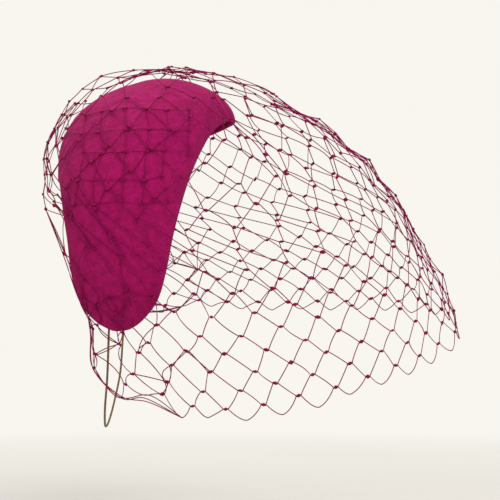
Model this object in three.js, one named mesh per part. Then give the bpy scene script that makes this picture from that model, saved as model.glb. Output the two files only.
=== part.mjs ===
// Cocktail hat: a felt half hat, a veil of coarse diamond net and a hat elastic.
// Units are millimetres. +Z is up, the wearer looks towards -Y and the wearer's left is +X.
// The origin is on top of the wearer's head, under the middle of the crown.
import * as THREE from 'three';

// Rows of numbers as objects with named columns.
const table = (columns, rows) => rows.map(
  (row) => Object.fromEntries(columns.map((column, i) => [column, row[i]])),
);

// The head that the hat is blocked to: an ellipsoid with squared shoulders.
const HEAD = { y: -29, z: -74, halfWidth: 74, halfDepth: 95, halfHeight: 76, squareness: 2.3 };

const FELT_THICKNESS = 2.2;
const HEAD_CLEARANCE = 1.5;    // between the head and the inside of the felt's edge
const STRAND_WIDTH = 1.2;
const STRAND_THICKNESS = 1.0;
const VEIL_CLEARANCE = 1.9;    // from the felt to the middle of a strand that lies on it
const VEIL_OFF_HEAD = 3.5;     // from the head to the middle of a strand that lies on it
const VEIL_OVERHANG = 6;       // how far past the felt's edges the net still rides over them
const ELASTIC_DIAMETER = 1.2;
const SEAT_GAP = 0.6;          // from the elastic's end to the curved felt that it is sewn to

// The felt, a long teardrop laid over the head from its round end, left of the crown, to its tip
// at the right ear. roll turns from the top of the head towards the right ear, in degrees. rear
// and front are the edges' y. rise is the dome's height over the head, and the two squares say
// how upright the dome stands at each edge: 2 is round, 5 is boxy.
const HAT_SECTIONS = table(['roll', 'rear', 'front', 'rise', 'rearSquare', 'frontSquare'], [
  [-29, 15, -6, 2.5, 2.5, 2.5],
  [-27, 29, -20, 8, 2.5, 2.4],
  [-22, 41, -32, 15, 3, 2.2],
  [-12, 51, -42, 20, 4, 2],
  [0, 55.5, -46.5, 24, 5, 2],
  [20, 54.5, -41, 25, 4.5, 2],
  [38, 52.5, -32.5, 22, 4, 2],
  [55, 50, -25, 18, 3.4, 2.1],
  [70, 47.5, -19, 15, 3, 2.2],
  [84, 45, -14, 11, 2.8, 2.3],
  [98, 43, -10, 8, 2.6, 2.4],
  [110, 40, -5, 6, 2.5, 2.5],
  [118, 35, 2.5, 4.5, 2.5, 2.5],
  [122.5, 28.5, 9.5, 3.2, 2.5, 2.5],
  [124, 23, 15, 2.2, 2.5, 2.5],
]);
const STATIONS_PER_SECTION = 2;
const SAMPLES_ACROSS = 14;

// The veil, a ring of knots to each row, from the gather on the crown down to the scalloped edge.
// A ring passes through (frontY, frontZ) before the face, (sideX, sideY, sideZ) over an ear and
// (backY, backZ) behind the head. It reaches end degrees round from the front, so a ring under
// 180 is open at the back. lean drops the right side and lifts the left, in mm per mm of x, and
// ruffle is how far the gathered net stands in and out.
const VEIL_RINGS = table([
  'row', 'frontY', 'frontZ', 'sideX', 'sideY', 'sideZ', 'backY', 'backZ', 'end', 'lean', 'ruffle',
], [
  [0, -21, 29.5, 9, -12, 30.5, -3, 31, 180, 0, 1],
  [1, -46, 24, 38, -12, 22.5, 30, 24, 180, 0, 2],
  [2, -70, 17, 57, -13, 9, 47, 14, 180, 0.02, 2],
  [3, -94, 6, 69, -15, -10, 59, 1, 180, 0.05, 1],
  [4, -114, -10, 75, -16, -31, 65, -16, 180, 0.09, 0],
  [5, -131, -28, 78, -18, -49, 65, -35, 180, 0.13, 0],
  [6, -145, -48, 80, -20, -66, 69, -45, 145, 0.17, 0],
  [7, -155, -67, 82, -22, -84, 62, -66, 144, 0.21, 1],
  [8, -164, -85, 84, -26, -99, 53, -88, 143, 0.25, 1],
  [9, -171, -101, 85, -31, -115, 41, -108, 142, 0.28, 2],
  [10, -176, -117, 85, -36, -131, 36, -136, 140, 0.31, 1],
]);
const VEIL_SQUARENESS = 2.15;
const VEIL_COLUMNS = 14;        // diamonds in one ring
const STEPS_PER_STRAND = 3;
const NORMAL_STEP = 0.05;       // of a ring or a half diamond, to find which way the net faces

// The elastic is sewn inside the felt's tip, at a roll angle and a y. It goes down behind the
// right ear, round the nape and up over the left side, into the felt's round end.
const ELASTIC_SEAT = { roll: 114, y: 21 };
const ELASTIC_ROUTE = [
  [-60.5, 21, -109], [-55.5, 22, -118], [-46, 23.5, -141], [-31, 26, -159], [-14, 27.5, -169],
  [0, 28, -171.5], [14, 27.5, -169], [31, 26, -159], [46, 23.5, -141], [56, 22.5, -117],
  [63, 20, -103], [68, 17, -86], [69.5, 14, -68], [68, 11, -49], [61, 8, -31],
  [49, 5.5, -15.5], [38, 4.5, -8], [34.5, 4.5, -3], [33.5, 4.5, 1],
];
const ELASTIC_STEPS = 80;
const CORD_SIDES = 8;

const FELT_COLOUR = 0xa01c58;
const NET_COLOUR = 0x8c1a4c;
const ELASTIC_COLOUR = 0x4a3626;

// A table's columns at a value of its key column, on a smooth curve through its rows.
function readTable(rows, key, value) {
  let row = 0;
  while (row < rows.length - 2 && value > rows[row + 1][key]) row += 1;
  const span = rows[row + 1][key] - rows[row][key];
  const t = (value - rows[row][key]) / span;
  const result = {};
  for (const column of Object.keys(rows[0])) {
    const start = rows[row][column];
    const end = rows[row + 1][column];
    const leave = slope(rows, key, column, row) * span;
    const arrive = slope(rows, key, column, row + 1) * span;
    result[column] = start + t * leave
      + t * t * (3 * (end - start) - 2 * leave - arrive)
      + t * t * t * (2 * (start - end) + leave + arrive);
  }
  return result;
}

// A column's slope at a row, from the rows on either side of it.
function slope(rows, key, column, row) {
  const before = rows[Math.max(row - 1, 0)];
  const after = rows[Math.min(row + 1, rows.length - 1)];
  return (after[column] - before[column]) / (after[key] - before[key]);
}

const power = (value, exponent) => Math.sign(value) * Math.abs(value) ** exponent;

// The head's radius round its lengthwise axis, at a roll angle in radians.
function headRadius(roll, y) {
  const along = Math.abs((y - HEAD.y) / HEAD.halfDepth) ** HEAD.squareness;
  const across = Math.abs(Math.sin(roll) / HEAD.halfWidth) ** HEAD.squareness
    + Math.abs(Math.cos(roll) / HEAD.halfHeight) ** HEAD.squareness;
  return (Math.max(1 - along, 0) / across) ** (1 / HEAD.squareness);
}

// A point at a radius round the head's lengthwise axis; roll turns towards the right ear.
function rolledPoint(roll, y, radius) {
  return new THREE.Vector3(-radius * Math.sin(roll), y, HEAD.z + radius * Math.cos(roll));
}

// The felt's outside at a roll angle in degrees; across runs from 0 at the rear to PI in front.
function feltPoint(rollDegrees, across) {
  const section = readTable(HAT_SECTIONS, 'roll', rollDegrees);
  const square = across < Math.PI / 2 ? section.rearSquare : section.frontSquare;
  const forward = (1 - power(Math.cos(across), 2 / square)) / 2;
  const dome = Math.max(Math.sin(across), 0) ** (2 / square);
  const y = section.rear + (section.front - section.rear) * forward;
  const roll = THREE.MathUtils.degToRad(rollDegrees);
  const radius = headRadius(roll, y) + HEAD_CLEARANCE + FELT_THICKNESS + section.rise * dome;
  return rolledPoint(roll, y, radius);
}

// How high the dome of a section stands at a y between its edges.
function domeHeight({ rear, front, rise, rearSquare, frontSquare }, y) {
  const offCentre = 2 * (rear - y) / (rear - front) - 1;
  const square = offCentre < 0 ? rearSquare : frontSquare;
  return rise * (1 - Math.abs(offCentre) ** square) ** (1 / square);
}

// Moves a point of the net out until it clears the head, and the felt where that lies under it.
function clearOfHat(point) {
  const height = point.z - HEAD.z;
  const roll = Math.atan2(-point.x, height);
  const rollDegrees = THREE.MathUtils.radToDeg(roll);
  const head = headRadius(roll, point.y);
  let least = head + VEIL_OFF_HEAD;
  if (rollDegrees > HAT_SECTIONS[0].roll && rollDegrees < HAT_SECTIONS.at(-1).roll) {
    const section = readTable(HAT_SECTIONS, 'roll', rollDegrees);
    const wide = { ...section, rear: section.rear + VEIL_OVERHANG, front: section.front - VEIL_OVERHANG };
    const covers = point.y < wide.rear && point.y > wide.front;
    if (covers) least = head + HEAD_CLEARANCE + FELT_THICKNESS + domeHeight(wide, point.y) + VEIL_CLEARANCE;
  }
  return rolledPoint(roll, point.y, Math.max(Math.hypot(point.x, height), least));
}

// A point of the veil before it is ruffled or pushed off the hat. row counts rings from the
// crown and column counts half diamonds from the middle of the face, so that +-VEIL_COLUMNS are
// the two ends of a ring, at the back.
function smoothVeil(row, column) {
  const ring = readTable(VEIL_RINGS, 'row', row);
  const angle = THREE.MathUtils.degToRad(ring.end) * column / VEIL_COLUMNS;
  const forward = power(Math.cos(angle), 2 / VEIL_SQUARENESS);
  const sideways = power(Math.sin(angle), 2 / VEIL_SQUARENESS);
  const reach = forward > 0 ? ring.frontY - ring.sideY : ring.sideY - ring.backY;
  const fall = (forward > 0 ? ring.frontZ : ring.backZ) - ring.sideZ;
  const x = ring.sideX * sideways;
  const z = ring.sideZ + fall * Math.cos(angle) ** 2 + ring.lean * x;
  return new THREE.Vector3(x, ring.sideY + reach * forward, z);
}

function veilNormal(row, column) {
  const down = smoothVeil(row + NORMAL_STEP, column).sub(smoothVeil(row - NORMAL_STEP, column));
  const across = smoothVeil(row, column + NORMAL_STEP).sub(smoothVeil(row, column - NORMAL_STEP));
  return down.cross(across).normalize();
}

// The ruffled net: one knot stands out, the next one in.
function veilPoint(row, column) {
  const { ruffle } = readTable(VEIL_RINGS, 'row', row);
  const wave = ruffle * Math.cos(Math.PI * (row + column) / 2);
  return clearOfHat(smoothVeil(row, column).addScaledVector(veilNormal(row, column), wave));
}

// A mesh geometry from points and polygons that turn anticlockwise as seen from outside.
function bodyFrom(points, polygons) {
  const geometry = new THREE.BufferGeometry();
  const positions = points.flatMap((point) => point.toArray());
  const triangles = [];
  for (const polygon of polygons) {
    for (let i = 1; i < polygon.length - 1; i += 1) triangles.push(polygon[0], polygon[i], polygon[i + 1]);
  }
  geometry.setAttribute('position', new THREE.Float32BufferAttribute(positions, 3));
  geometry.setIndex(triangles);
  geometry.computeVertexNormals();
  return geometry;
}

// A wall of even thickness behind a grid of points, whose rows and columns turn anticlockwise.
function wallBehind(grid, thickness) {
  const rows = grid.length;
  const columns = grid[0].length;
  const nearest = (index, count) => Math.min(Math.max(index, 0), count - 1);
  const at = (row, column) => grid[nearest(row, rows)][nearest(column, columns)];
  const normalAt = (row, column) => {
    const down = at(row + 1, column).clone().sub(at(row - 1, column));
    const across = at(row, column + 1).clone().sub(at(row, column - 1));
    return down.cross(across).normalize();
  };
  const outside = grid.flat();
  const inside = outside.map((point, i) => {
    const normal = normalAt(Math.floor(i / columns), i % columns);
    return point.clone().addScaledVector(normal, -thickness);
  });
  const outer = (row, column) => row * columns + column;
  const inner = (row, column) => outside.length + outer(row, column);
  const polygons = [];
  for (let row = 0; row < rows - 1; row += 1) {
    for (let column = 0; column < columns - 1; column += 1) {
      const corners = [[row, column], [row + 1, column], [row + 1, column + 1], [row, column + 1]];
      polygons.push(corners.map((corner) => outer(...corner)));
      polygons.push(corners.map((corner) => inner(...corner)).reverse());
    }
  }
  const rim = [];
  for (let row = 0; row < rows - 1; row += 1) rim.push([row, 0]);
  for (let column = 0; column < columns - 1; column += 1) rim.push([rows - 1, column]);
  for (let row = rows - 1; row > 0; row -= 1) rim.push([row, columns - 1]);
  for (let column = columns - 1; column > 0; column -= 1) rim.push([0, column]);
  rim.forEach((corner, i) => {
    const next = rim[(i + 1) % rim.length];
    polygons.push([outer(...next), outer(...corner), inner(...corner), inner(...next)]);
  });
  return bodyFrom([...outside, ...inside], polygons);
}

// The felt: one wall from lobe to lobe, sampled evenly between the sections of the table.
function feltHat() {
  const rolls = [];
  HAT_SECTIONS.slice(0, -1).forEach((section, i) => {
    const step = (HAT_SECTIONS[i + 1].roll - section.roll) / STATIONS_PER_SECTION;
    for (let k = 0; k < STATIONS_PER_SECTION; k += 1) rolls.push(section.roll + k * step);
  });
  rolls.push(HAT_SECTIONS.at(-1).roll);
  const grid = rolls.map((roll) => {
    const samples = [];
    for (let i = 0; i <= SAMPLES_ACROSS; i += 1) samples.push(feltPoint(roll, Math.PI * i / SAMPLES_ACROSS));
    return samples;
  });
  return wallBehind(grid, FELT_THICKNESS);
}

// The net as cells. Each cell is a loop of vertices [row, column], anticlockwise from outside,
// with the strands' own steps between its four knots.
const LAST_ROW = VEIL_RINGS.length - 1;
const isClosed = (row) => row <= LAST_ROW && VEIL_RINGS[row].end === 180;

function netCells() {
  const cells = [];
  for (let row = 1; row < LAST_ROW; row += 1) {
    for (let column = 1 - VEIL_COLUMNS; column <= VEIL_COLUMNS; column += 1) {
      const atSeam = column === VEIL_COLUMNS;
      if ((row + column) % 2 === 0 || (atSeam && !isClosed(row + 1))) continue;
      const knots = [[row - 1, column], [row, column - 1], [row + 1, column], [row, column + 1]];
      cells.push(knots.flatMap((knot, i) => strand(knot, knots[(i + 1) % knots.length])));
    }
  }
  return cells;
}

// A strand's vertices from one knot up to, but not with, the next.
function strand(from, to) {
  const vertices = [];
  for (let step = 0; step < STEPS_PER_STRAND; step += 1) {
    const share = step / STEPS_PER_STRAND;
    vertices.push([from[0] + (to[0] - from[0]) * share, from[1] + (to[1] - from[1]) * share]);
  }
  return vertices;
}

// One name for a vertex, also where the two ends of a closed ring meet.
function vertexName([row, column]) {
  const down = Math.round(row * STEPS_PER_STRAND);
  const around = Math.round(column * STEPS_PER_STRAND);
  const halfRing = VEIL_COLUMNS * STEPS_PER_STRAND;
  const wraps = around >= halfRing && isClosed(Math.ceil(down / STEPS_PER_STRAND));
  return `${down} ${wraps ? around - 2 * halfRing : around}`;
}

// The loops round the outside of all the cells: the crown's gather, and the scalloped edge with
// the net's ends.
function outerLoops(cells) {
  const edgesOf = (loop) => loop.map((name, i) => `${name}>${loop[(i + 1) % loop.length]}`);
  const directed = new Set(cells.flatMap(edgesOf));
  const following = new Map();
  for (const edge of directed) {
    const [from, to] = edge.split('>');
    if (!directed.has(`${to}>${from}`)) following.set(to, from);
  }
  const loops = [];
  while (following.size > 0) {
    const loop = [];
    let name = following.keys().next().value;
    while (following.has(name)) {
      const next = following.get(name);
      following.delete(name);
      loop.push(name);
      name = next;
    }
    loops.push(loop);
  }
  return loops;
}

// Where a loop turns, its corner lies half a strand inside the loop. On the outside of a sharp
// turn it is cut short.
function insetCorner(before, here, after) {
  const middle = veilPoint(...here);
  const normal = veilNormal(...here);
  const inward = (direction) => normal.clone().cross(direction).normalize();
  const arriving = inward(middle.clone().sub(veilPoint(...before)));
  const leaving = inward(veilPoint(...after).sub(middle));
  const turnsLeft = arriving.clone().cross(leaving).dot(normal) > 0;
  const sum = arriving.clone().add(leaving);
  const miter = STRAND_WIDTH / 2 * sum.length() / (1 + arriving.dot(leaving));
  const length = turnsLeft ? miter : Math.min(miter, STRAND_WIDTH);
  return { place: middle.addScaledVector(sum.normalize(), length), normal };
}

// The whole net as one body. Every loop of vertices, the outer ones included, is drawn in by half
// a strand, and what lies between the loops is the strands and knots.
function veil() {
  const places = new Map();
  const cells = netCells().map((cell) => cell.map((vertex) => {
    const name = vertexName(vertex);
    if (!places.has(name)) places.set(name, vertex);
    return name;
  }));

  const corners = [];
  const edges = new Map();
  for (const loop of [...cells, ...outerLoops(cells)]) {
    const first = corners.length;
    loop.forEach((name, i) => {
      const before = loop[(i + loop.length - 1) % loop.length];
      const after = loop[(i + 1) % loop.length];
      corners.push({ name, after, ...insetCorner(...[before, name, after].map((each) => places.get(each))) });
      edges.set(`${name}>${after}`, { start: first + i, end: first + (i + 1) % loop.length });
    });
  }

  const points = corners.flatMap(({ place, normal }) => [
    place.clone().addScaledVector(normal, STRAND_THICKNESS / 2),
    place.clone().addScaledVector(normal, -STRAND_THICKNESS / 2),
  ]);
  const outer = (corner) => 2 * corner;
  const inner = (corner) => 2 * corner + 1;
  const polygons = [];
  const addFace = (face) => polygons.push(face.map(outer), face.map(inner).reverse());
  for (const [edge, { start, end }] of edges) {
    const [from, to] = edge.split('>');
    const back = edges.get(`${to}>${from}`);
    polygons.push([inner(end), inner(start), outer(start), outer(end)]);
    if (from < to) addFace([back.end, back.start, end, start]);
  }
  const joined = new Set();
  corners.forEach((_, first) => {
    const around = [];
    let corner = first;
    while (!joined.has(corner)) {
      joined.add(corner);
      around.unshift(corner);
      corner = edges.get(`${corners[corner].after}>${corners[corner].name}`).end;
    }
    if (around.length > 2) addFace(around);
  });
  return bodyFrom(points, polygons);
}

// The hat elastic: one round cord from the felt's tip, round the nape, to its round end.
function hatElastic() {
  const roll = THREE.MathUtils.degToRad(ELASTIC_SEAT.roll);
  const felt = headRadius(roll, ELASTIC_SEAT.y) + HEAD_CLEARANCE
    + domeHeight(readTable(HAT_SECTIONS, 'roll', ELASTIC_SEAT.roll), ELASTIC_SEAT.y);
  const seat = rolledPoint(roll, ELASTIC_SEAT.y, felt - SEAT_GAP - ELASTIC_DIAMETER / 2);
  const route = ELASTIC_ROUTE.map((point) => new THREE.Vector3(...point));
  const outline = new THREE.Shape();
  outline.absarc(0, 0, ELASTIC_DIAMETER / 2, 0, 2 * Math.PI);
  return new THREE.ExtrudeGeometry(outline, {
    steps: ELASTIC_STEPS,
    curveSegments: CORD_SIDES / 2,
    extrudePath: new THREE.CatmullRomCurve3([seat, ...route]),
    bevelEnabled: false,
  });
}

function piece(name, geometry, color, roughness) {
  const material = new THREE.MeshStandardMaterial({ color, roughness, metalness: 0 });
  const mesh = new THREE.Mesh(geometry, material);
  mesh.name = name;
  return mesh;
}

const hat = new THREE.Group();
hat.add(piece('felt_hat', feltHat(), FELT_COLOUR, 0.95));
hat.add(piece('veil', veil(), NET_COLOUR, 0.7));
hat.add(piece('hat_elastic', hatElastic(), ELASTIC_COLOUR, 0.8));

export default hat;
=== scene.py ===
"""A felt cocktail hat with a veil of diamond net and a hat elastic.

Lengths are millimetres, as in the part's source, where a line doesn't say metres. +Z is up, the
wearer looks towards -Y and the wearer's right ear is at -X.
"""

import math

import bpy
import numpy as np
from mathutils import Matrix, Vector


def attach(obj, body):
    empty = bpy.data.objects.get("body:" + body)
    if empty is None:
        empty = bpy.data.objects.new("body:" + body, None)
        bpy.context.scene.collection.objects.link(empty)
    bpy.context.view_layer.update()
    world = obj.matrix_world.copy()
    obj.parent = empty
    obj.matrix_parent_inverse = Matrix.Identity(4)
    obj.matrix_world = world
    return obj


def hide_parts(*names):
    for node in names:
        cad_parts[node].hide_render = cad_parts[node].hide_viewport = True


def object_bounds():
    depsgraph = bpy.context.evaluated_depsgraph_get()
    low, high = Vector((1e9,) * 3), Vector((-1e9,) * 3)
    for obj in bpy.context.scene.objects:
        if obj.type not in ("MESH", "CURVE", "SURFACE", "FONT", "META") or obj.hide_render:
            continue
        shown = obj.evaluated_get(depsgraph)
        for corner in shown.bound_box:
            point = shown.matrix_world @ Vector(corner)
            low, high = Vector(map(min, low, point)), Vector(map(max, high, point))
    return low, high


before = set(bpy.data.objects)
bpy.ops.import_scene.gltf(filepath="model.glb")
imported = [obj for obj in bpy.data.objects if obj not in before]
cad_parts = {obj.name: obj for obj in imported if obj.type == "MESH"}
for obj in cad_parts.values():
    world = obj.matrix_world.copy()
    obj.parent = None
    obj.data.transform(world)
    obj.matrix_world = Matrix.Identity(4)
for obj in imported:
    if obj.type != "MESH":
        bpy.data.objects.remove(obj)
cad_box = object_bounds()

MM = 0.001
RANDOM = np.random.default_rng(11)

# The part's driving dimensions.
HEAD_CENTRE_Y, HEAD_CENTRE_Z = -29, -74
HEAD_HALF_WIDTH, HEAD_HALF_DEPTH, HEAD_HALF_HEIGHT = 74, 95, 76
HEAD_SQUARENESS = 2.3
FELT_THICKNESS = 2.2
HEAD_CLEARANCE = 1.5

# roll in degrees, rear, front, rise, rear square, front square
HAT_SECTIONS = np.array([
    [-29, 15, -6, 2.5, 2.5, 2.5],
    [-27, 29, -20, 8, 2.5, 2.4],
    [-22, 41, -32, 15, 3, 2.2],
    [-12, 51, -42, 20, 4, 2],
    [0, 55.5, -46.5, 24, 5, 2],
    [20, 54.5, -41, 25, 4.5, 2],
    [38, 52.5, -32.5, 22, 4, 2],
    [55, 50, -25, 18, 3.4, 2.1],
    [70, 47.5, -19, 15, 3, 2.2],
    [84, 45, -14, 11, 2.8, 2.3],
    [98, 43, -10, 8, 2.6, 2.4],
    [110, 40, -5, 6, 2.5, 2.5],
    [118, 35, 2.5, 4.5, 2.5, 2.5],
    [122.5, 28.5, 9.5, 3.2, 2.5, 2.5],
    [124, 23, 15, 2.2, 2.5, 2.5],
])

# row, front y and z, side x, y and z, back y and z, end in degrees, lean, ruffle
VEIL_RINGS = np.array([
    [0, -21, 29.5, 9, -12, 30.5, -3, 31, 180, 0, 1],
    [1, -46, 24, 38, -12, 22.5, 30, 24, 180, 0, 2],
    [2, -70, 17, 57, -13, 9, 47, 14, 180, 0.02, 2],
    [3, -94, 6, 69, -15, -10, 59, 1, 180, 0.05, 1],
    [4, -114, -10, 75, -16, -31, 65, -16, 180, 0.09, 0],
    [5, -131, -28, 78, -18, -49, 65, -35, 180, 0.13, 0],
    [6, -145, -48, 80, -20, -66, 69, -45, 145, 0.17, 0],
    [7, -155, -67, 82, -22, -84, 62, -66, 144, 0.21, 1],
    [8, -164, -85, 84, -26, -99, 53, -88, 143, 0.25, 1],
    [9, -171, -101, 85, -31, -115, 41, -108, 142, 0.28, 2],
    [10, -176, -117, 85, -36, -131, 36, -136, 140, 0.31, 1],
])
VEIL_SQUARENESS = 2.15

ELASTIC_ROUTE = [
    (-67.4, 21, -104), (-60.5, 21, -109), (-55.5, 22, -118), (-46, 23.5, -141), (-31, 26, -159),
    (-14, 27.5, -169), (0, 28, -171.5), (14, 27.5, -169), (31, 26, -159), (46, 23.5, -141),
    (56, 22.5, -117), (63, 20, -103), (68, 17, -86), (69.5, 14, -68), (68, 11, -49),
    (61, 8, -31), (49, 5.5, -15.5), (38, 4.5, -8), (34.5, 4.5, -3), (33.5, 4.5, 1),
]
ELASTIC_STEPS = 153
# Both in metres.
ELASTIC_DIAMETER = 0.0012

# The felt's grid, the turns in degrees and the squash of its rounded cut edge, and how far the
# block's unevenness lifts it.
FELT_ROWS, FELT_COLUMNS = 113, 65
EDGE_TURNS = (60, 30, 0, -30, -60)
EDGE_SQUASH = 0.8
UNEVENNESS = 0.35

# The net: diamonds in a ring, and half diamonds from the crown to the hem. Rings up to the last
# closed one run right round, and those above the crown's last have fewer diamonds.
NET_COLUMNS, NET_ROWS = 27, 20
CROWN_COLUMNS, CROWN_ROWS = 13, 4
CLOSED_ROWS = 10

# How the net departs from its smooth surface. A pair in brackets is a ramp: its start, and the
# length after which it reaches 1, which is negative where it rises backwards. Rows here are those
# of the table of rings, and a turn is 0 before the face and 1 or -1 at the back.
FRONT_BUNCH, FRONT_WIDTH, FRONT_WAVE = 0.6, 0.12, 1.3
FRONT_ROWS = (0, 3), (10, -4)
CROWN_LIFT, CROWN_LIFT_ROWS = 4.5, (2.6, -1.6)
PLEAT_TURN, PLEAT_SLANT, PLEAT_WIDTH, PLEAT_DEPTH = -0.46, 0.038, 0.12, 0.85
PLEAT_ROWS = (1.6, 0.5), (4.8, -0.8)
RUFFLES = 14
REAR_TURNS, REAR_ROWS = (0.58, 0.3), (4.5, 2)
REAR_WAVE, REAR_WAVES_DOWN, REAR_WAVES_ROUND = 4.0, 4.1, 19
REAR_PULL, PULL_TURNS = 7, (0.6, 0.3)
PULL_ROW, PULL_SPREAD = 6.5, 1.3
HEM_SAG, SAG_ROWS = 9, (2.5, 5)
SAG_Y, SAG_WIDTH = -42, 55
TIP_RAISE, REAR_TIP_RAISE, TIP_TURNS = 0.1, 0.15, (0.5, 0.3)

# How far knots stray outwards, down and around: everywhere, more at the rear, more before the face.
KNOT_STRAY = [(0.5, 2.2, 0.4), (0.5, 2.6, 0), (0.45, 2.6, 0)]

# How far parts of the net stay off the felt, how far past its border that holds, and how far they
# stay off the head.
KNOT_CLEARANCE = (1.2, 6, 3.5)
FLAT_KNOT_CLEARANCE = (0.7, 1, 3.5)
STRAND_CLEARANCE = (0.7, 1.5, 3.5)
SKIN_CLEARANCE = (0.6, 2.5, 0)

# The layer that lies flat on the felt: its rows, its columns, how its knots stray in height and
# depth, and the margin that it leaves along the felt's border.
UNDER_HEIGHTS = (3, -9, -22, -36, -50)
UNDER_FIRST, UNDER_LAST = -2, 4
UNDER_MIDDLE_Y, UNDER_STEP = 2, 12
UNDER_STRAY = (0.9, 1.6)
UNDER_MARGIN = 2
LEVEL_START, LEVEL_ROUNDS = 45.0, 8

STRAND_RADIUS, UNDER_RADIUS = 0.27, 0.2
STRAND_STEPS, STRAND_SIDES = 6, 4
STRAND_BOW, REAR_BOW = 0.7, 3.8
TIP_FALL, TIP_SPREAD = 0.92, 0.5
# A direction that hardly any thread runs in, so that the sides of tubes start from it.
TUBE_LEVEL = (0.13, 0.31, 0.94)

# Crossing strands in the gather: where it starts round half a ring, how far apart the knots are
# that they may join, and what share of those pairs they do join below the closed rings and above.
CRUMPLE_START = 0.7
CRUMPLE_SPAN = (3, 19)
CRUMPLE_SHARE, PUFF_SHARE = 0.45, 0.22

# The threads that draw an end of the veil together: how many, how far they stray, and how far along
# the hem they run.
DRAW_THREADS, DRAW_STRAY, DRAW_STEPS = 3, 1.3, 8
END_SHARE, HEM_SHARE = 0.99, 0.8

KNOT_LENGTH, KNOT_RADIUS = 3.4, 0.72
KNOT_RINGS, KNOT_SIDES = 7, 8
KNOT_REACH = 0.36
KNOT_SIZES, KNOT_TILTS = 0.14, 0.3
KNOT_TAPER, KNOT_LOBE, KNOT_TWIST = 0.8, 0.28, 3.5

# Camera, room and floor, in metres and watts.
CAMERA_EYE = (-0.899, -0.050, -0.117)
CAMERA_FIELD = 0.290
# name, place, size, power, colour
LIGHTS = [
    ("key", (-0.8, -0.6, 0.9), 1.3, 15, (1, 0.985, 0.96)),
    ("fill", (-0.9, 0.6, -0.1), 1.2, 5.5, (1, 0.97, 0.93)),
    ("rim", (0.5, 0.3, 1.0), 0.6, 9, (1, 0.99, 0.97)),
]
ROOM_LIGHT, ROOM_STRENGTH = (0.95, 0.93, 0.90, 1), 0.5
WALL_COLOUR = (0.94, 0.92, 0.86, 1)
FLOOR_DROP, FLOOR_RADIUS, FLOOR_SIDES = 0.05, 3, 96
FLOOR_FADE = (0.10, 0.75)

# Places along a ramp of colour, and the colours there.
FLOOR_PAINT = [(0.3, (0.60, 0.585, 0.55)), (0.7, (0.64, 0.625, 0.585))]
FELT_DYE = [(0.34, (0.235, 0.0012, 0.062)), (0.5, (0.32, 0.002, 0.089)),
            (0.66, (0.40, 0.004, 0.118))]
THREAD_DYE = [(0.3, (0.13, 0.001, 0.037)), (0.7, (0.34, 0.004, 0.098))]
KNOT_DYE = [(0.3, (0.13, 0.001, 0.028)), (0.7, (0.33, 0.004, 0.078))]
ELASTIC_DYE = [(0.2, (0.09, 0.042, 0.012)), (0.8, (0.24, 0.13, 0.04))]


# ---------------------------------------------------------------- camera, light and floor

def face_hat(thing, place):
    """Sets a camera or light in its place, turned to the part's middle; returns the distance."""
    way = (Vector(cad_box[0]) + Vector(cad_box[1])) / 2 - Vector(place)
    thing.location = place
    thing.rotation_euler = way.to_track_quat("-Z", "Y").to_euler()
    bpy.context.collection.objects.link(thing)
    return way.length


def add_camera():
    """The eye is at the wearer's right and low, so the hat shows from a little below."""
    data = bpy.data.cameras.new("camera")
    camera = bpy.data.objects.new("camera", data)
    data.lens = data.sensor_width * face_hat(camera, CAMERA_EYE) / CAMERA_FIELD
    bpy.context.scene.camera = camera


def add_light(name, place, size, power, colour):
    data = bpy.data.lights.new(name, "AREA")
    data.size = size
    data.energy = power
    data.color = colour
    face_hat(bpy.data.objects.new(name, data), place)


def add_surroundings():
    """A pale room that looks brighter than it lights, so that the hat keeps soft shadows."""
    for light in LIGHTS:
        add_light(*light)
    world = bpy.data.worlds.new("studio")
    world.use_nodes = True
    nodes, links = world.node_tree.nodes, world.node_tree.links
    lighting = nodes["Background"]
    set_inputs(lighting, {"Color": ROOM_LIGHT, "Strength": ROOM_STRENGTH})
    wall = new_node(nodes, "ShaderNodeBackground", {"Color": WALL_COLOUR})
    ray = nodes.new("ShaderNodeLightPath")
    mix = nodes.new("ShaderNodeMixShader")
    links.new(ray.outputs["Is Camera Ray"], mix.inputs["Fac"])
    links.new(lighting.outputs["Background"], mix.inputs[1])
    links.new(wall.outputs["Background"], mix.inputs[2])
    links.new(mix.outputs["Shader"], nodes["World Output"].inputs["Surface"])
    bpy.context.scene.world = world
    bpy.context.scene.view_settings.view_transform = "Standard"

    below = (0, 0, cad_box[0][2] - FLOOR_DROP)
    bpy.ops.mesh.primitive_circle_add(
        vertices=FLOOR_SIDES, radius=FLOOR_RADIUS, fill_type="NGON", location=below)
    floor = bpy.context.object
    floor.name = "floor"
    floor.data.materials.append(floor_material())


def floor_material():
    """Pale paint that fades away far from the hat, so that no edge shows."""
    material, nodes, links, shader = new_material("floor_paint", {"Roughness": 0.9})
    noise, place = add_texture(nodes, links, "ShaderNodeTexNoise", {"Scale": 4})
    add_dye(nodes, links, noise, FLOOR_PAINT, shader)
    distance = nodes.new("ShaderNodeVectorMath")
    distance.operation = "LENGTH"
    near, far = FLOOR_FADE
    fade = new_node(nodes, "ShaderNodeMapRange",
                    {"From Min": near, "From Max": far, "To Min": 1, "To Max": 0})
    links.new(place.outputs["Object"], distance.inputs[0])
    links.new(distance.outputs["Value"], fade.inputs["Value"])
    links.new(fade.outputs["Result"], shader.inputs["Alpha"])
    return material


# ---------------------------------------------------------------- materials

def set_inputs(node, values):
    for name, value in values.items():
        node.inputs[name].default_value = value


def new_node(nodes, kind, values):
    node = nodes.new(kind)
    set_inputs(node, values)
    return node


def new_material(name, values):
    material = bpy.data.materials.new(name)
    material.use_nodes = True
    nodes = material.node_tree.nodes
    shader = nodes["Principled BSDF"]
    set_inputs(shader, values)
    return material, nodes, material.node_tree.links, shader


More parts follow.
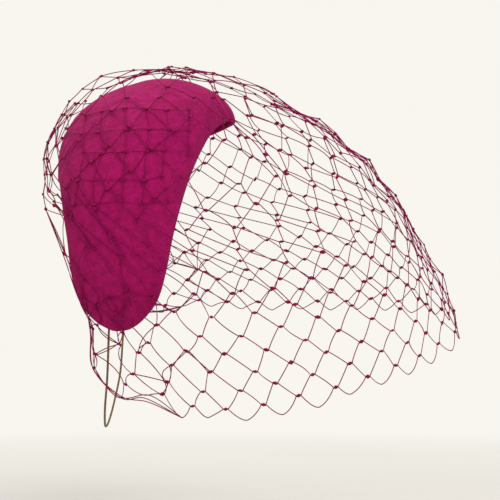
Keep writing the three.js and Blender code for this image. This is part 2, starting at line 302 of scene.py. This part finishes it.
def add_texture(nodes, links, kind, values):
    """A texture on the piece's own coordinates, and the node that gives those."""
    texture = new_node(nodes, kind, values)
    place = nodes.new("ShaderNodeTexCoord")
    links.new(place.outputs["Object"], texture.inputs["Vector"])
    return texture, place


def add_dye(nodes, links, texture, stops, shader):
    """The shader's colour, which runs through the stops with the texture."""
    dye = nodes.new("ShaderNodeValToRGB")
    elements = dye.color_ramp.elements
    while len(elements) < len(stops):
        elements.new(0.5)
    for element, (position, colour) in zip(elements, stops):
        element.position = position
        element.color = (*colour, 1)
    links.new(texture.outputs["Fac"], dye.inputs["Fac"])
    links.new(dye.outputs["Color"], shader.inputs["Base Color"])


def add_bump(nodes, links, texture, strength, distance, normal):
    """A relief from the texture, into a normal input; the distance is metres."""
    bump = new_node(nodes, "ShaderNodeBump", {"Strength": strength, "Distance": distance})
    links.new(texture.outputs["Fac"], bump.inputs["Height"])
    links.new(bump.outputs["Normal"], normal)
    return bump


def felt_material():
    """Blocked wool felt: matted fibres, cloudy dye and a fuzz that catches the light."""
    material, nodes, links, shader = new_material("wool_felt", {
        "Roughness": 0.96, "Specular IOR Level": 0.15, "Sheen Weight": 0.13,
        "Sheen Roughness": 0.6, "Sheen Tint": (0.9, 0.1, 0.4, 1)})
    clouds, _ = add_texture(nodes, links, "ShaderNodeTexNoise",
                            {"Scale": 220, "Detail": 8, "Roughness": 0.78})
    add_dye(nodes, links, clouds, FELT_DYE, shader)
    fibres, _ = add_texture(nodes, links, "ShaderNodeTexNoise",
                            {"Scale": 900, "Detail": 4, "Distortion": 2.5})
    mat, _ = add_texture(nodes, links, "ShaderNodeTexNoise", {"Scale": 150, "Detail": 5})
    fine = add_bump(nodes, links, fibres, 0.8, 0.0006, shader.inputs["Normal"])
    add_bump(nodes, links, mat, 0.9, 0.0025, fine.inputs["Normal"])
    return material


def thread_material(name, dye, scale):
    """Dyed thread whose fibres catch the light unevenly along it."""
    material, nodes, links, shader = new_material(name, {
        "Roughness": 0.62, "Specular IOR Level": 0.06, "Sheen Weight": 0.03,
        "Sheen Tint": (0.9, 0.25, 0.5, 1)})
    noise, _ = add_texture(nodes, links, "ShaderNodeTexNoise", {"Scale": scale, "Detail": 3})
    add_dye(nodes, links, noise, dye, shader)
    add_bump(nodes, links, noise, 0.6, 0.0002, shader.inputs["Normal"])
    return material


def elastic_material():
    """A braided cover: slanting threads, side by side."""
    material, nodes, links, shader = new_material("braided_elastic", {"Roughness": 0.6})
    braid, _ = add_texture(nodes, links, "ShaderNodeTexWave", {"Scale": 900, "Distortion": 3})
    braid.bands_direction = "DIAGONAL"
    add_dye(nodes, links, braid, ELASTIC_DYE, shader)
    add_bump(nodes, links, braid, 0.7, 0.0002, shader.inputs["Normal"])
    return material


# ------------------------------------------------------- the head, the felt and the net's surface

def read_table(rows, values):
    """The table's columns at values of its first column, on smooth curves through its rows."""
    key = rows[:, 0]
    last = len(rows) - 1
    values = np.asarray(values, float)
    row = np.clip(np.searchsorted(key, values) - 1, 0, last - 1)
    before = np.maximum(np.arange(last + 1) - 1, 0)
    after = np.minimum(np.arange(last + 1) + 1, last)
    slopes = (rows[after] - rows[before]) / (key[after] - key[before])[:, None]
    span = (key[row + 1] - key[row])[..., None]
    t = (values - key[row])[..., None] / span
    start, end = rows[row], rows[row + 1]
    leave, arrive = slopes[row] * span, slopes[row + 1] * span
    smooth = start + t * leave + t**2 * (3 * (end - start) - 2 * leave - arrive)
    smooth = smooth + t**3 * (2 * (start - end) + leave + arrive)
    return np.moveaxis(smooth, -1, 0)


def smooth_path(points, count):
    """A smooth curve through points, as this many places along it."""
    key = np.arange(len(points))
    return read_table(np.column_stack([key, points]), np.linspace(0, len(points) - 1, count))[1:].T


def power(value, exponent):
    return np.sign(value) * np.abs(value) ** exponent


def unit(vectors):
    return vectors / np.maximum(np.linalg.norm(vectors, axis=-1, keepdims=True), 1e-9)


def ramp(value, start, length):
    """0 up to the start, then evenly up to 1 over the length, which may run backwards."""
    return np.clip((value - start) / length, 0, 1)


def bell(value, middle, width):
    return np.exp(-(((value - middle) / width) ** 2))


def head_radius(roll, y):
    along = np.abs((y - HEAD_CENTRE_Y) / HEAD_HALF_DEPTH) ** HEAD_SQUARENESS
    across = (np.abs(np.sin(roll) / HEAD_HALF_WIDTH) ** HEAD_SQUARENESS
              + np.abs(np.cos(roll) / HEAD_HALF_HEIGHT) ** HEAD_SQUARENESS)
    return (np.maximum(1 - along, 0) / across) ** (1 / HEAD_SQUARENESS)


def rolled_point(roll, y, radius):
    return np.stack([-radius * np.sin(roll), y, HEAD_CENTRE_Z + radius * np.cos(roll)], -1)


def felt_point(roll, across):
    """The felt's outside at roll in degrees; across runs from 0 at the rear to pi in front."""
    _, rear, front, rise, rear_square, front_square = read_table(HAT_SECTIONS, roll)
    square = np.where(across < math.pi / 2, rear_square, front_square)
    forward = (1 - power(np.cos(across), 2 / square)) / 2
    dome = np.maximum(np.sin(across), 0) ** (2 / square)
    y = rear + (front - rear) * forward
    turn = np.radians(roll)
    radius = head_radius(turn, y) + HEAD_CLEARANCE + FELT_THICKNESS + rise * dome
    return rolled_point(turn, y, radius)


def clear_of_hat(points, clearance):
    """Moves points of the net out until they clear the head, and the felt where it lies."""
    off_felt, overhang, off_head = clearance
    height = points[..., 2] - HEAD_CENTRE_Z
    roll = np.arctan2(-points[..., 0], height)
    y = points[..., 1]
    head = head_radius(roll, y)
    least = head + off_head
    degrees = np.degrees(roll)
    inside = (degrees > HAT_SECTIONS[0, 0]) & (degrees < HAT_SECTIONS[-1, 0])
    section = read_table(HAT_SECTIONS, np.where(inside, degrees, 0))
    _, rear, front, rise, rear_square, front_square = section
    rear, front = rear + overhang, front - overhang
    off_centre = np.clip(2 * (rear - y) / (rear - front) - 1, -1, 1)
    square = np.where(off_centre < 0, rear_square, front_square)
    dome = rise * (1 - np.abs(off_centre) ** square) ** (1 / square)
    covers = inside & (y < rear) & (y > front)
    least = np.where(covers, head + HEAD_CLEARANCE + FELT_THICKNESS + dome + off_felt, least)
    return rolled_point(roll, y, np.maximum(np.hypot(points[..., 0], height), least))


def net_surface(row, turn):
    """The smooth net; turn runs from -1 through 0 before the face to 1."""
    ring = read_table(VEIL_RINGS, row)
    _, front_y, front_z, side_x, side_y, side_z, back_y, back_z, end, lean, _ = ring
    angle = np.radians(end) * turn
    forward = power(np.cos(angle), 2 / VEIL_SQUARENESS)
    x = side_x * power(np.sin(angle), 2 / VEIL_SQUARENESS)
    before = forward > 0
    y = side_y + np.where(before, front_y - side_y, side_y - back_y) * forward
    z = side_z + (np.where(before, front_z, back_z) - side_z) * np.cos(angle) ** 2 + lean * x
    return np.stack([x, y, z], -1)


def net_frame(row, turn, step=0.02):
    """Where the net's surface is, and its unit directions down, around and out."""
    down = unit(net_surface(row + step, turn) - net_surface(row - step, turn))
    around = unit(net_surface(row, turn + step) - net_surface(row, turn - step))
    return net_surface(row, turn), down, around, unit(np.cross(down, around))


def even_turns(rows, shares):
    """Turns that part each half of a ring, from the face to the back, into even lengths.

    Before the face the veil is bunched, so the diamonds there are narrower.
    """
    bunch = FRONT_BUNCH * ramp(rows, *FRONT_ROWS[0]) * ramp(rows, *FRONT_ROWS[1])
    shares = shares * (1 - bunch * (1 - np.abs(shares)) ** 2)
    turns = np.zeros(len(rows))
    samples = np.linspace(0, 1, 300)
    for row in np.unique(rows):
        for side in (-1, 1):
            ring = net_surface(np.full(len(samples), row), side * samples)
            steps = np.linalg.norm(np.diff(ring, axis=0), axis=1)
            length = np.concatenate([[0], np.cumsum(steps)])
            these = (rows == row) & (side * shares > 0)
            turns[these] = side * np.interp(np.abs(shares[these]), length / length[-1], samples)
    return turns


# ---------------------------------------------------------------- the felt and the elastic

def add_mesh(name, points, faces, material):
    mesh = bpy.data.meshes.new(name)
    mesh.from_pydata((np.asarray(points) * MM).tolist(), [], faces)
    mesh.polygons.foreach_set("use_smooth", [True] * len(mesh.polygons))
    mesh.materials.append(material)
    mesh.update()
    piece = bpy.data.objects.new(name, mesh)
    bpy.context.collection.objects.link(piece)
    return piece


def felt_grid():
    """The wall's outside and its normals, with the block's unevenness left in it as long waves."""
    sections = len(HAT_SECTIONS)
    steps = np.linspace(0, sections - 1, FELT_ROWS)
    rolls = np.interp(steps, np.arange(sections), HAT_SECTIONS[:, 0])
    across = np.linspace(0, math.pi, FELT_COLUMNS)
    grid = felt_point(*np.meshgrid(rolls, across, indexing="ij"))
    normal = unit(np.cross(np.gradient(grid, axis=0), np.gradient(grid, axis=1)))
    x, y, z = np.moveaxis(grid, -1, 0)
    waves = (np.sin(y / 13 + x / 21) * np.sin(z / 17 + 1)
             + 0.6 * np.sin(x / 9 + 2) * np.cos(z / 11 - y / 15))
    return grid + normal * (UNEVENNESS * waves)[..., None], normal


def add_felt():
    """The felt wall: an outside, an inside and a rounded cut edge between them."""
    grid, normal = felt_grid()
    rows, columns = FELT_ROWS, FELT_COLUMNS
    border = [(row, 0) for row in range(rows - 1)]
    border += [(rows - 1, column) for column in range(columns - 1)]
    border += [(row, columns - 1) for row in range(rows - 1, 0, -1)]
    border += [(0, column) for column in range(columns - 1, 0, -1)]
    at = tuple(np.array(border).T)
    edge, edge_normal = grid[at], normal[at]
    forward = unit(np.roll(edge, -1, axis=0) - np.roll(edge, 1, axis=0))
    outward = unit(np.cross(forward, edge_normal))
    radius = FELT_THICKNESS / 2
    points = [grid.reshape(-1, 3), (grid - normal * FELT_THICKNESS).reshape(-1, 3)]
    for turn in np.radians(EDGE_TURNS):
        lift = (math.sin(turn) - 1) * radius
        points.append(edge + edge_normal * lift + outward * math.cos(turn) * radius * EDGE_SQUASH)

    count = rows * columns
    faces = []
    for row in range(rows - 1):
        for column in range(columns - 1):
            corner = row * columns + column
            quad = [corner, corner + columns, corner + columns + 1, corner + 1]
            faces.append(quad)
            faces.append([count + index for index in reversed(quad)])
    loops = [[row * columns + column for row, column in border]]
    for k in range(len(EDGE_TURNS)):
        loops.append([2 * count + k * len(border) + i for i in range(len(border))])
    loops.append([count + index for index in loops[0]])
    for upper, lower in zip(loops, loops[1:]):
        for i in range(len(border)):
            after = (i + 1) % len(border)
            faces.append([upper[after], upper[i], lower[i], lower[after]])
    felt = add_mesh("felt_hat_cloth", np.concatenate(points), faces, felt_material())
    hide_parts("felt_hat")
    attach(felt, "root")


def add_elastic():
    """A curve through the route that the part's own cord takes."""
    fine = smooth_path(np.array(ELASTIC_ROUTE), ELASTIC_STEPS)
    data = bpy.data.curves.new("hat_elastic_cord", "CURVE")
    data.dimensions = "3D"
    data.bevel_depth = ELASTIC_DIAMETER / 2
    data.bevel_resolution = 3
    data.use_fill_caps = True
    spline = data.splines.new("POLY")
    spline.points.add(len(fine) - 1)
    for point, place in zip(spline.points, fine * MM):
        point.co = (*place, 1)
    data.materials.append(elastic_material())
    cord = bpy.data.objects.new("hat_elastic_cord", data)
    bpy.context.collection.objects.link(cord)
    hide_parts("hat_elastic")
    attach(cord, "root")


# ---------------------------------------------------------------- the net

def net_columns(row):
    return CROWN_COLUMNS if row < CROWN_ROWS else NET_COLUMNS


def net_rings():
    """For each row of the net, its columns and the share of half a ring where each one is."""
    rings = []
    for row in range(NET_ROWS + 1):
        columns = net_columns(row)
        past = columns if row <= CLOSED_ROWS else columns + 1
        taken = [column for column in range(-columns, past) if (row + column) % 2 == 0]
        rings.append({column: column / columns for column in taken})
    return rings


def net_lattice():
    """The knots as rows and shares of a half ring, and the strands as pairs of knots and a side."""
    rings = net_rings()
    ordered = [(row, column) for row, ring in enumerate(rings) for column in ring]
    names = {knot: i for i, knot in enumerate(ordered)}
    crown = [names[0, column] for column in rings[0]]
    across = len(crown) // 3
    strands = [(start, crown[(i + across) % len(crown)], 0) for i, start in enumerate(crown)]
    for row, column in ordered:
        if row == CROWN_ROWS:
            share = rings[row][column]
            above = min(rings[row - 1], key=lambda other: abs(rings[row - 1][other] - share))
            side = 1 if rings[row - 1][above] < share else -1
            strands.append((names[row - 1, above], names[row, column], side))
        if row == CROWN_ROWS - 1 or row == NET_ROWS:
            continue
        for side in (-1, 1):
            below = column + side
            if row < CLOSED_ROWS:
                columns = net_columns(row)
                below = (below + columns) % (2 * columns) - columns
            if (row + 1, below) in names:
                strands.append((names[row, column], names[row + 1, below], side))
    places = np.array([(row, rings[row][column]) for row, column in ordered])
    return places, np.array(strands)


def pleated(row, turn):
    """Turns drawn in towards the slanting pleat over the near temple."""
    off = turn - (PLEAT_TURN + PLEAT_SLANT * row)
    pinch = bell(off, 0, PLEAT_WIDTH) * ramp(row, *PLEAT_ROWS[0]) * ramp(row, *PLEAT_ROWS[1])
    return turn - PLEAT_DEPTH * off * pinch


def net_knots(places):
    """The knots, moved off the smooth net as a stiff net that was gathered by hand lies.

    The last of what it returns is how far each knot belongs to the gather behind the ears.
    """
    row = places[:, 0] / 2
    turn = pleated(row, even_turns(row, places[:, 1]))
    is_tip = places[:, 0] == NET_ROWS
    row = row - is_tip * (TIP_RAISE + REAR_TIP_RAISE * ramp(np.abs(turn), *TIP_TURNS))
    point, down, around, out = net_frame(row, turn)

    rear = ramp(np.abs(turn), *REAR_TURNS) * ramp(row, *REAR_ROWS)
    front = bell(turn, 0, FRONT_WIDTH) * ramp(row, *FRONT_ROWS[0]) * ramp(row, *FRONT_ROWS[1])
    rise = np.cos(math.pi * (row + turn * RUFFLES) / 2) * read_table(VEIL_RINGS, row)[-1]
    rise = rise + REAR_WAVE * rear * np.sin(row * REAR_WAVES_DOWN + turn * REAR_WAVES_ROUND)
    rise = rise + front * FRONT_WAVE * np.sin(places[:, 1] * 90 + row)
    rise = rise + CROWN_LIFT * ramp(row, *CROWN_LIFT_ROWS)
    rise = rise - REAR_PULL * ramp(np.abs(turn), *PULL_TURNS) * bell(row, PULL_ROW, PULL_SPREAD)
    near = point[:, 0] < 0
    point[:, 2] -= HEM_SAG * (bell(point[:, 1], SAG_Y, SAG_WIDTH) * ramp(row, *SAG_ROWS) * near)

    strays = RANDOM.normal(0, 1, (len(places), 3)).T
    strays = [stray * (always + at_rear * rear + in_front * front)
              for stray, (always, at_rear, in_front) in zip(strays, KNOT_STRAY)]
    point = point + out * (rise + strays[0])[:, None]
    point = point + down * strays[1][:, None]
    point = point + around * strays[2][:, None]
    return clear_of_hat(point, KNOT_CLEARANCE), down, around, out, rear


def level_points(heights, y):
    """Points on the felt's near side at these heights and depths, and their rolls in radians."""
    turn = np.radians(np.full(len(y), LEVEL_START))
    for _ in range(LEVEL_ROUNDS):
        points = clear_of_hat(rolled_point(turn, y, np.ones(len(y))), FLAT_KNOT_CLEARANCE)
        radius = np.hypot(points[:, 0], points[:, 2] - HEAD_CENTRE_Z)
        turn = np.arccos(np.clip((heights - HEAD_CENTRE_Z) / radius, -1, 1))
    return points, turn


def under_net(first):
    """The layer of net that lies flat on the felt, its meshes pulled square.

    It returns the knots with their directions, the strands, and which knots the felt carries.
    """
    names = {}
    for i in range(len(UNDER_HEIGHTS)):
        for j in range(UNDER_FIRST, UNDER_LAST + 1):
            names[i, j] = len(names)
    knots = np.array([(UNDER_HEIGHTS[i], UNDER_MIDDLE_Y + j * UNDER_STEP) for i, j in names])
    knots = knots + RANDOM.normal(0, 1, knots.shape) * UNDER_STRAY
    point, turn = level_points(*knots.T)
    _, rear, front, *_ = read_table(HAT_SECTIONS, np.degrees(turn))
    covered = (point[:, 1] < rear - UNDER_MARGIN) & (point[:, 1] > front + UNDER_MARGIN)
    down = np.stack([-np.cos(turn), 0 * turn, -np.sin(turn)], -1)
    around = np.tile((0.0, -1.0, 0.0), (len(turn), 1))
    strands = []
    for (i, j), start in names.items():
        for after in ((i + 1, j), (i, j + 1)):
            end = names.get(after)
            if end is not None and covered[start] and covered[end]:
                strands.append((first + start, first + end, 0))
    return (point, down, around, unit(np.cross(down, around))), np.array(strands), covered


def strand_paths(knots, frames, strands, is_tip, gather):
    """Each strand's middle line, from one knot's bar to the next, or into a loop's tip."""
    down, around, out = frames
    start, end, side = strands.T
    tip = is_tip[end][:, None]
    reach = (KNOT_LENGTH * KNOT_REACH * side)[:, None]
    first = knots[start] + around[start] * reach
    last = knots[end] - around[end] * reach * np.where(tip, 0, 1)
    fall = np.sum((last - first) * down[start], axis=1, keepdims=True) * down[start]
    slack = (gather[start] + gather[end])[:, None] / 2
    bow = RANDOM.normal(0, 1, (len(strands), 2)) * (STRAND_BOW + REAR_BOW * slack)
    middle = (first + last) / 2 + out[start] * bow[:, :1] + around[start] * bow[:, 1:]
    elbow = first + fall * TIP_FALL + (last - first - fall) * TIP_SPREAD
    middle = np.where(tip, elbow, middle)
    t = np.linspace(0, 1, STRAND_STEPS + 1)[None, :, None]
    path = first[:, None] * (1 - t) ** 2 + middle[:, None] * 2 * t * (1 - t) + last[:, None] * t**2
    return clear_of_hat(path, STRAND_CLEARANCE)


def crumpled_strands(knots, places):
    """Strands that cross where layers of the veil lie on one another.

    They thicken its gathered ends behind the ears, and less the puff above those.
    """
    row, share = places[:, 0], np.abs(places[:, 1])
    end = np.flatnonzero((share > CRUMPLE_START) & (row > CROWN_ROWS) & (row < NET_ROWS))
    near = np.linalg.norm(knots[end][:, None] - knots[end][None], axis=-1)
    least, most = CRUMPLE_SPAN
    first, second = np.nonzero(np.triu((near > least) & (near < most)))
    likely = np.where(row[end[first]] > CLOSED_ROWS + 2, CRUMPLE_SHARE, PUFF_SHARE)
    kept = RANDOM.random(len(first)) < likely
    return np.stack([end[first[kept]], end[second[kept]], np.zeros(kept.sum(), int)], 1)


def border_paths(knots, places):
    """The threads that draw each cut edge of the veil together, and run on along its hem."""
    paths = []
    for side in (-1, 1):
        share = places[:, 1] * side
        end = np.flatnonzero((share > END_SHARE) & (places[:, 0] > CLOSED_ROWS))
        hem = np.flatnonzero((share > HEM_SHARE) & (places[:, 0] == NET_ROWS))
        hem = hem[np.argsort(-share[hem])]
        for _ in range(DRAW_THREADS):
            edge = knots[np.concatenate([end, hem])]
            stray = RANDOM.normal(0, DRAW_STRAY, edge.shape)
            stray[[0, -1]] = 0
            paths.append(smooth_path(edge + stray, DRAW_STEPS * len(edge)))
    return paths


def tube_faces(first, rings, sides):
    faces = []
    for ring in range(rings - 1):
        for side in range(sides):
            near = first + ring * sides + side
            far = first + ring * sides + (side + 1) % sides
            faces.append((near, far, far + sides, near + sides))
    faces.append(tuple(first + side for side in reversed(range(sides))))
    faces.append(tuple(first + (rings - 1) * sides + side for side in range(sides)))
    return faces


def tubes(paths, radius, first):
    """Closed tubes round paths that all have the same number of points."""
    along = unit(np.gradient(paths, axis=1))
    across = unit(np.cross(along, np.array(TUBE_LEVEL)))
    lift = np.cross(across, along)
    turns = 2 * math.pi * np.arange(STRAND_SIDES) / STRAND_SIDES
    rings = [paths + radius * (math.cos(turn) * across + math.sin(turn) * lift) for turn in turns]
    points = np.stack(rings, 2).reshape(-1, 3)
    count = paths.shape[1]
    faces = []
    for i in range(len(paths)):
        faces += tube_faces(first + i * count * STRAND_SIDES, count, STRAND_SIDES)
    return points, faces


def knot_lumps(knots, down, around, out, first):
    """A knot is a short twisted bar that lies along its ring."""
    size = RANDOM.normal(1, KNOT_SIZES, (len(knots), 2))
    tilt = RANDOM.normal(0, KNOT_TILTS, len(knots))
    axis = unit(around * np.cos(tilt)[:, None] + down * np.sin(tilt)[:, None])
    side = unit(np.cross(out, axis))
    rings = []
    for k in range(KNOT_RINGS):
        t = (k + 0.5) / KNOT_RINGS * 2 - 1
        width = KNOT_RADIUS * math.sqrt(1 - t * t) ** KNOT_TAPER
        for s in range(KNOT_SIDES):
            turn = 2 * math.pi * s / KNOT_SIDES
            lobe = width * (1 + KNOT_LOBE * math.cos(2 * turn + KNOT_TWIST * t))
            offset = side * math.cos(turn) * lobe + out * math.sin(turn) * lobe
            along = axis * (t * KNOT_LENGTH / 2 * size[:, :1])
            rings.append(knots + along + offset * size[:, 1:])
    points = np.stack(rings, 1).reshape(-1, 3)
    faces = []
    for i in range(len(knots)):
        faces += tube_faces(first + i * KNOT_RINGS * KNOT_SIDES, KNOT_RINGS, KNOT_SIDES)
    return points, faces


def add_net():
    """The net with its flat under layer, its gathered ends and its knots, as one piece."""
    places, strands = net_lattice()
    knots, *frames, gather = net_knots(places)
    (under_knots, *under_frames), under_strands, covered = under_net(len(knots))
    crumpled = crumpled_strands(knots, places)
    all_knots = np.concatenate([knots, under_knots])
    frames = [np.concatenate(pair) for pair in zip(frames, under_frames)]
    is_tip = np.concatenate([places[:, 0] == NET_ROWS, np.zeros(len(under_knots), bool)])
    gather = np.concatenate([gather, np.zeros(len(under_knots))])
    all_strands = np.concatenate([strands, crumpled, under_strands])

    paths = strand_paths(all_knots, frames, all_strands, is_tip, gather)
    radii = np.full(len(paths), STRAND_RADIUS)
    radii[-len(under_strands):] = UNDER_RADIUS
    points, faces = tubes(paths, radii[:, None, None], 0)
    for path in border_paths(knots, places):
        more_points, more_faces = tubes(path[None], STRAND_RADIUS, len(points))
        points = np.concatenate([points, more_points])
        faces = faces + more_faces
    tied = np.concatenate([places[:, 0] < NET_ROWS, covered])
    down, around, out = (direction[tied] for direction in frames)
    knot_points, knot_faces = knot_lumps(all_knots[tied], down, around, out, len(points))

    skin = clear_of_hat(np.concatenate([points, knot_points]), SKIN_CLEARANCE)
    thread = thread_material("net_thread", THREAD_DYE, 600)
    net = add_mesh("veil_net", skin, faces + knot_faces, thread)
    net.data.materials.append(thread_material("net_knot", KNOT_DYE, 900))
    net.data.polygons.foreach_set("material_index", [0] * len(faces) + [1] * len(knot_faces))
    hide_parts("veil")
    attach(net, "root")


add_camera()
add_elastic()
add_surroundings()
add_felt()
add_net()
